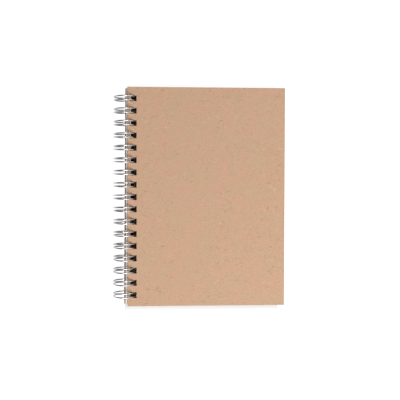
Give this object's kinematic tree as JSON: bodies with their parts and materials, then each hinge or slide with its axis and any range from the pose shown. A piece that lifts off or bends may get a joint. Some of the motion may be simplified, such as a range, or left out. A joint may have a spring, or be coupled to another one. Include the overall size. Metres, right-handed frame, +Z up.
{
  "type": "wire-bound sketchbook",
  "caption": "Closed wire-bound sketchbook with kraft board covers over drawing paper; the front cover and the sheets turn about a twin-loop wire along the spine.",
  "frame": {"origin": "centre of the footprint, on the surface that the closed book lies on", "axes": "+X from the wire spine towards the fore-edge, +Y from tail to head of the pages, +Z up out of the front cover"},
  "size_m": [0.1194, 0.1518, 0.0156],
  "materials": {
    "kraft_board": "flecked brown kraft greyboard, uncoated and matt",
    "paper": "uncoated white cartridge paper",
    "wire": "bright silver-coated steel wire"
  },
  "bodies": {
    "wire_and_back_cover": {"wire_binding": "wire", "back_cover": "kraft_board"},
    "sheets_46_50": {"sheet_46": "paper", "sheet_47": "paper", "sheet_48": "paper", "sheet_49": "paper", "sheet_50": "paper"},
    "sheets_41_45": {"sheet_41": "paper", "sheet_42": "paper", "sheet_43": "paper", "sheet_44": "paper", "sheet_45": "paper"},
    "sheets_36_40": {"sheet_36": "paper", "sheet_37": "paper", "sheet_38": "paper", "sheet_39": "paper", "sheet_40": "paper"},
    "sheets_31_35": {"sheet_31": "paper", "sheet_32": "paper", "sheet_33": "paper", "sheet_34": "paper", "sheet_35": "paper"},
    "sheets_26_30": {"sheet_26": "paper", "sheet_27": "paper", "sheet_28": "paper", "sheet_29": "paper", "sheet_30": "paper"},
    "sheets_21_25": {"sheet_21": "paper", "sheet_22": "paper", "sheet_23": "paper", "sheet_24": "paper", "sheet_25": "paper"},
    "sheets_16_20": {"sheet_16": "paper", "sheet_17": "paper", "sheet_18": "paper", "sheet_19": "paper", "sheet_20": "paper"},
    "sheets_11_15": {"sheet_11": "paper", "sheet_12": "paper", "sheet_13": "paper", "sheet_14": "paper", "sheet_15": "paper"},
    "sheets_06_10": {"sheet_06": "paper", "sheet_07": "paper", "sheet_08": "paper", "sheet_09": "paper", "sheet_10": "paper"},
    "sheets_01_05": {"sheet_01": "paper", "sheet_02": "paper", "sheet_03": "paper", "sheet_04": "paper", "sheet_05": "paper"},
    "front_cover": {"front_cover": "kraft_board"}
  },
  "joints": [
    {"name": "sheets_46_50_turn", "type": "hinge", "parent": "wire_and_back_cover", "child": "sheets_46_50", "pos_m": [-0.05189, 0, 0.00779], "axis": [0, -1, 0], "range_deg": [0, 180]},
    {"name": "sheets_41_45_turn", "type": "hinge", "parent": "sheets_46_50", "child": "sheets_41_45", "pos_m": [-0.05189, 0, 0.00779], "axis": [0, -1, 0], "range_deg": [0, 180]},
    {"name": "sheets_36_40_turn", "type": "hinge", "parent": "sheets_41_45", "child": "sheets_36_40", "pos_m": [-0.05189, 0, 0.00779], "axis": [0, -1, 0], "range_deg": [0, 180]},
    {"name": "sheets_31_35_turn", "type": "hinge", "parent": "sheets_36_40", "child": "sheets_31_35", "pos_m": [-0.05189, 0, 0.00779], "axis": [0, -1, 0], "range_deg": [0, 180]},
    {"name": "sheets_26_30_turn", "type": "hinge", "parent": "sheets_31_35", "child": "sheets_26_30", "pos_m": [-0.05189, 0, 0.00779], "axis": [0, -1, 0], "range_deg": [0, 180]},
    {"name": "sheets_21_25_turn", "type": "hinge", "parent": "sheets_26_30", "child": "sheets_21_25", "pos_m": [-0.05189, 0, 0.00779], "axis": [0, -1, 0], "range_deg": [0, 180]},
    {"name": "sheets_16_20_turn", "type": "hinge", "parent": "sheets_21_25", "child": "sheets_16_20", "pos_m": [-0.05189, 0, 0.00779], "axis": [0, -1, 0], "range_deg": [0, 180]},
    {"name": "sheets_11_15_turn", "type": "hinge", "parent": "sheets_16_20", "child": "sheets_11_15", "pos_m": [-0.05189, 0, 0.00779], "axis": [0, -1, 0], "range_deg": [0, 180]},
    {"name": "sheets_06_10_turn", "type": "hinge", "parent": "sheets_11_15", "child": "sheets_06_10", "pos_m": [-0.05189, 0, 0.00779], "axis": [0, -1, 0], "range_deg": [0, 180]},
    {"name": "sheets_01_05_turn", "type": "hinge", "parent": "sheets_06_10", "child": "sheets_01_05", "pos_m": [-0.05189, 0, 0.00779], "axis": [0, -1, 0], "range_deg": [0, 180]},
    {"name": "front_cover_turn", "type": "hinge", "parent": "sheets_01_05", "child": "front_cover", "pos_m": [-0.05189, 0, 0.00779], "axis": [0, -1, 0], "range_deg": [0, 180]}
  ]
}
